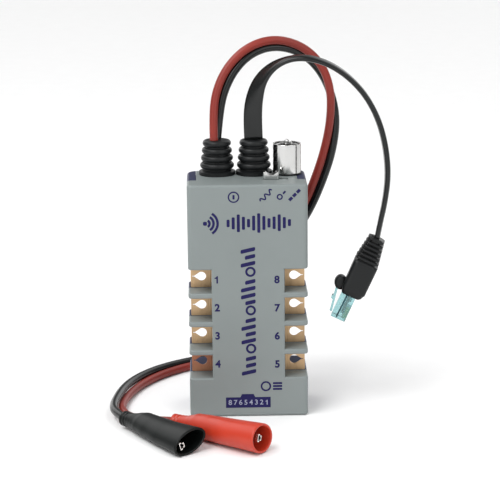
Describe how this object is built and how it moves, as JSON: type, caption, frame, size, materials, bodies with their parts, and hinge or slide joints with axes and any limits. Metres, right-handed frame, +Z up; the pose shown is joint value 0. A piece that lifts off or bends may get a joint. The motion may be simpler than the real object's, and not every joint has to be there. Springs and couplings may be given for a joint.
{
  "type": "tone probe kit",
  "caption": "Hand-sized tone generator with side contact plates, push-on coax connector, slide switch, modular plug cord, modular jack and a two-wire clip lead.",
  "frame": {"origin": "centre of the case's lower end face, which the case stands on; the free cords and what is on them are left out of that box", "axes": "+Z up along the case towards the cord boots and the coax connector, +X to the right across the front, front face towards -Y"},
  "size_m": [0.1224, 0.1354, 0.1596],
  "materials": {
    "grey_case": "fine moulded texture, satin",
    "navy_case": "fine moulded texture, satin",
    "black_plastic": "moulded",
    "white_plastic": "smooth",
    "battery_can": "plain printed can with no marks",
    "board_green": "solder mask",
    "steel": "plated",
    "jaw_steel": "nickel plated",
    "bright_chrome": "polished nickel",
    "contact_brass": "rolled strip, slightly dull",
    "gold": "gold flash",
    "black_rubber": "moulded vinyl, semi-matt",
    "boot_black": "soft vinyl, semi-gloss",
    "boot_red": "soft vinyl, semi-gloss",
    "cord_red": "vinyl insulation",
    "cord_black": "vinyl insulation",
    "wire_red": "vinyl insulation",
    "wire_brown": "vinyl insulation",
    "clear_teal": "clear polycarbonate with a cool tint"
  },
  "bodies": {
    "root": {"battery": "battery_can", "battery_leads": "wire_red", "battery_snap": "black_plastic", "black_clip_fixed_jaw": "jaw_steel", "black_clip_insulator": "boot_black", "black_clip_pin": "jaw_steel", "black_clip_spring": "jaw_steel", "board_screws": "steel", "capacitors": "battery_can", "case_screws": "steel", "chip_resistors": "black_plastic", "circuit_board": "board_green", "coax_collet": "steel", "coax_gasket": "black_rubber", "coax_insulator": "white_plastic", "coax_nut": "steel", "coax_pin": "bright_chrome", "coax_shell": "bright_chrome", "coax_wire": "white_plastic", "contact_plate_1": "contact_brass", "contact_plate_2": "contact_brass", "contact_plate_3": "contact_brass", "contact_plate_4": "contact_brass", "contact_plate_5": "contact_brass", "contact_plate_6": "contact_brass", "contact_plate_7": "contact_brass", "contact_plate_8": "contact_brass", "cord_boot": "black_rubber", "cord_tail": "cord_black", "front_shell": "grey_case", "jack_contacts": "gold", "jack_housing": "black_plastic", "lead_boot": "black_rubber", "lead_tails": "cord_red", "modular_cord": "cord_black", "plug_boot": "black_rubber", "plug_conductors": "wire_brown", "plug_contacts": "gold", "plug_cord_end": "cord_black", "plug_housing": "clear_teal", "rear_shell": "navy_case", "red_clip_fixed_jaw": "jaw_steel", "red_clip_insulator": "boot_red", "red_clip_pin": "jaw_steel", "red_clip_spring": "jaw_steel", "switch_body": "black_plastic", "switch_frame": "steel", "switch_terminals": "steel", "test_lead_black": "cord_black", "test_lead_red": "cord_red", "tone_chip": "black_plastic"},
    "switch_knob": {"switch_knob": "bright_chrome"},
    "battery_cover": {"battery_cover": "navy_case"},
    "black_jaw": {"black_clip_moving_jaw": "jaw_steel"},
    "red_jaw": {"red_clip_moving_jaw": "jaw_steel"},
    "plug_latch": {"plug_latch": "clear_teal"}
  },
  "joints": [
    {"name": "switch_slide", "type": "slide", "parent": "root", "child": "switch_knob", "axis": [1, 0, 0], "range_m": [0, 0.0056]},
    {"name": "battery_cover_lift_off", "type": "slide", "parent": "root", "child": "battery_cover", "axis": [0, 1, 0], "range_m": [0, 0.015]},
    {"name": "black_jaw_hinge", "type": "hinge", "parent": "root", "child": "black_jaw", "pos_m": [-0.04104, -0.04317, 0.00462], "axis": [-0.2563, -0.1604, 0.9532], "range_deg": [0, 14], "stiffness_Nm_per_rad": 0.05, "springref_deg": -17.19},
    {"name": "red_jaw_hinge", "type": "hinge", "parent": "root", "child": "red_jaw", "pos_m": [-0.01662, -0.04839, 0.00565], "axis": [0.1564, 0.2486, 0.9559], "range_deg": [0, 10], "stiffness_Nm_per_rad": 0.05, "springref_deg": -17.19},
    {"name": "plug_latch_hinge", "type": "hinge", "parent": "root", "child": "plug_latch", "pos_m": [0.03601, -0.00344, 0.04372], "axis": [0.1266, 0.9903, -0.0577], "range_deg": [0, 8], "stiffness_Nm_per_rad": 0.02}
  ]
}
